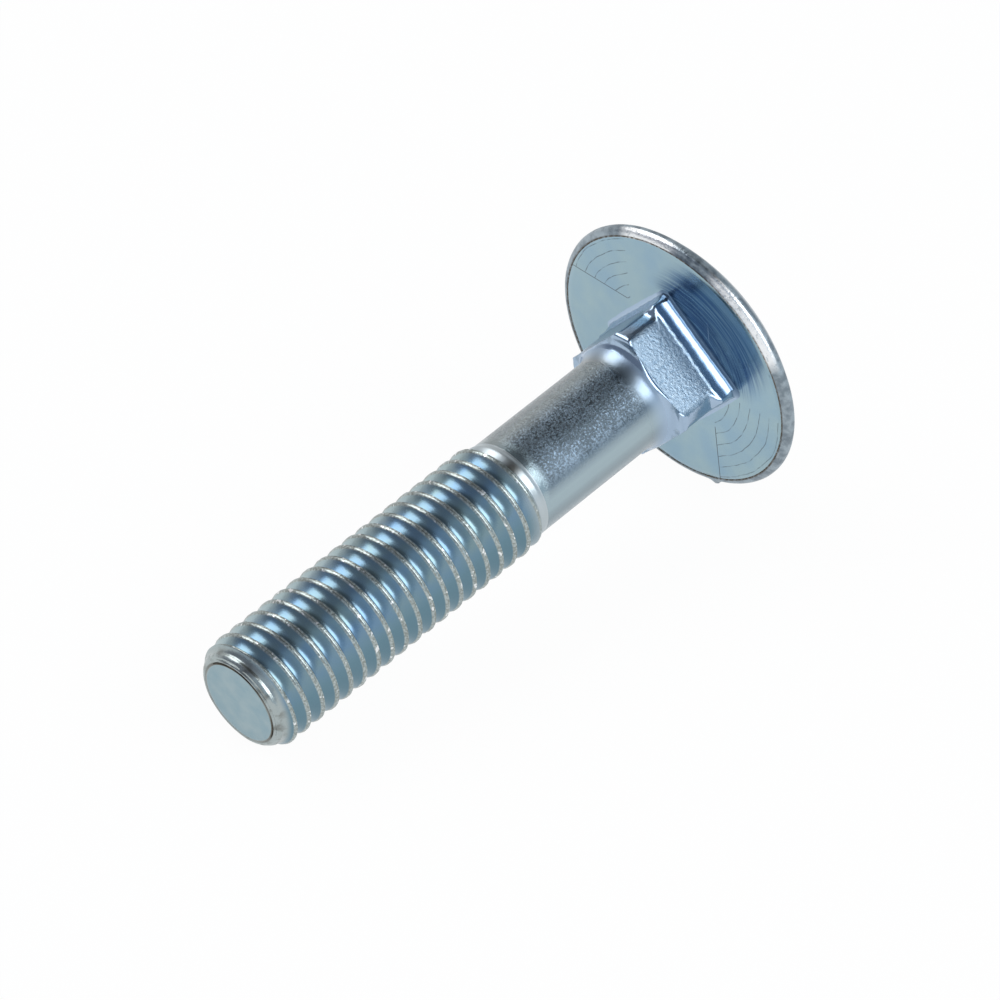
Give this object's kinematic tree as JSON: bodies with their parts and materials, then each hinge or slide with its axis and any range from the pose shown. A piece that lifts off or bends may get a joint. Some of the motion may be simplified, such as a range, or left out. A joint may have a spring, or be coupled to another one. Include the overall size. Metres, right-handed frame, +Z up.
{
  "type": "carriage bolt",
  "caption": "Carriage bolt with a low domed mushroom head, a square neck, a reduced plain shank and a coarse rolled thread.",
  "frame": {"origin": "on the surface that the bolt lies on, under the middle of its box", "axes": "+Z up; +X from the thread's end towards the head, with the bolt's own axis rising by 8.7 degrees because it rests on its head's rim and on the thread"},
  "size_m": [0.045, 0.02, 0.0198],
  "materials": {
    "zinc_plate": "bright zinc plate with a pale blue passivation"
  },
  "bodies": {
    "root": {"carriage_bolt": "zinc_plate"}
  },
  "joints": []
}
